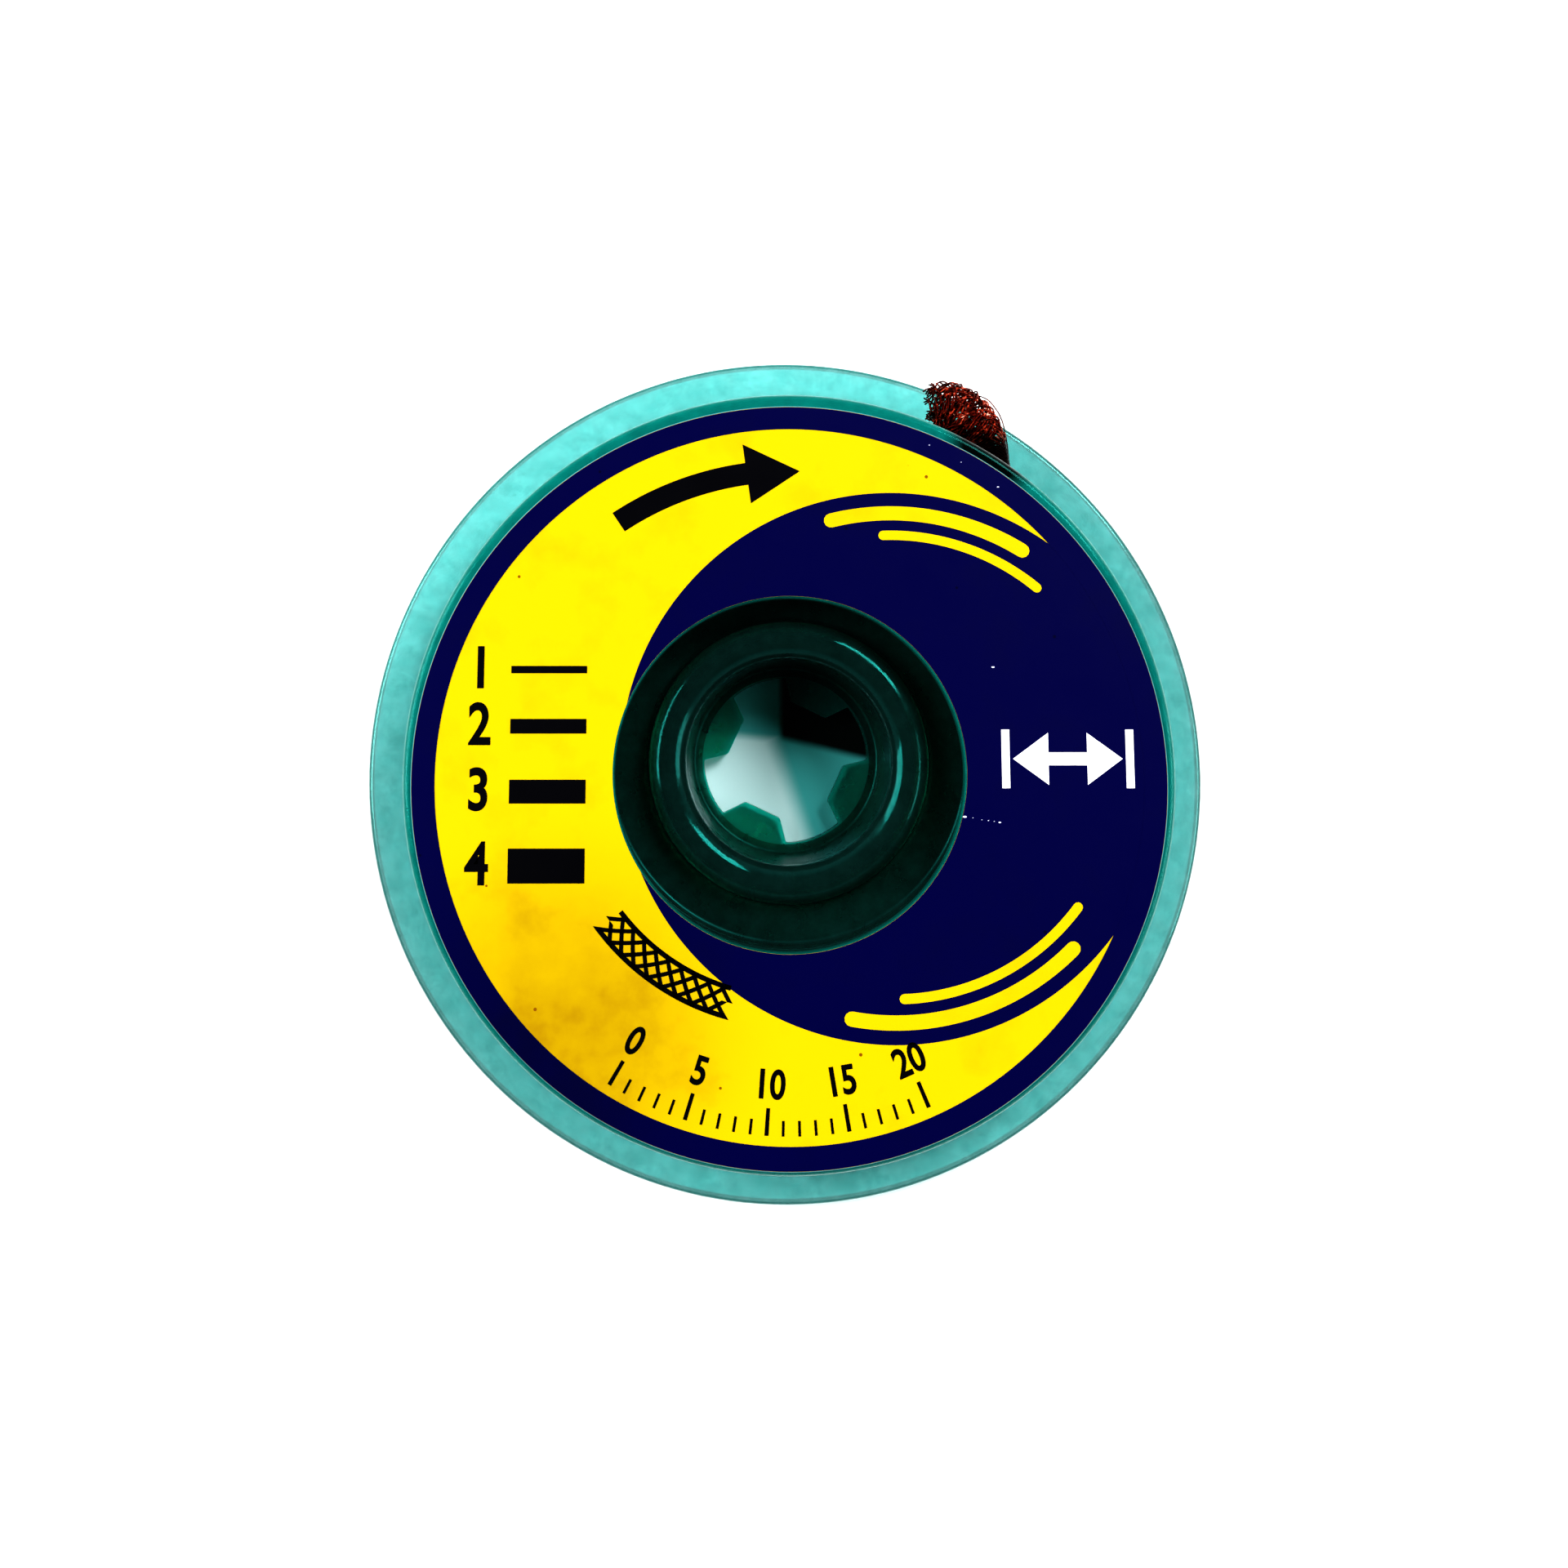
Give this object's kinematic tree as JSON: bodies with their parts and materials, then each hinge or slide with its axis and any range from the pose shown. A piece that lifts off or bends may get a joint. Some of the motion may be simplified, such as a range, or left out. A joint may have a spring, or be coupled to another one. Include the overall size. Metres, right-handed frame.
{
  "type": "desoldering braid bobbin",
  "caption": "Flat copper desoldering braid wound on a reel that turns inside a round flanged plastic case, with its frayed end out through a notch in the side wall.",
  "frame": {"origin": "centre of the back face; the reel's axis is 0.7 mm from it towards +Y, as the loose reel lies in the picture", "axes": "+Z parallel to the reel's axis towards the labelled face, +X to the picture's right, +Y to the picture's top"},
  "size_m": [0.056, 0.056, 0.0093],
  "materials": {
    "case_plastic": "glossy translucent teal, lightly scuffed",
    "reel_plastic": "glossy translucent dark teal",
    "label_film": "satin printed film, yellow and navy",
    "copper_braid": "woven fluxed copper wire, reddish brown"
  },
  "bodies": {
    "case": {"case_back": "case_plastic", "case_front": "case_plastic", "label": "label_film", "braid_tail": "copper_braid"},
    "spool": {"reel": "reel_plastic", "braid_coil": "copper_braid"}
  },
  "joints": [
    {"name": "reel_spin", "type": "hinge", "parent": "case", "child": "spool", "pos_m": [0, 0.0007, 0], "axis": [0, 0, 1], "continuous": true}
  ]
}
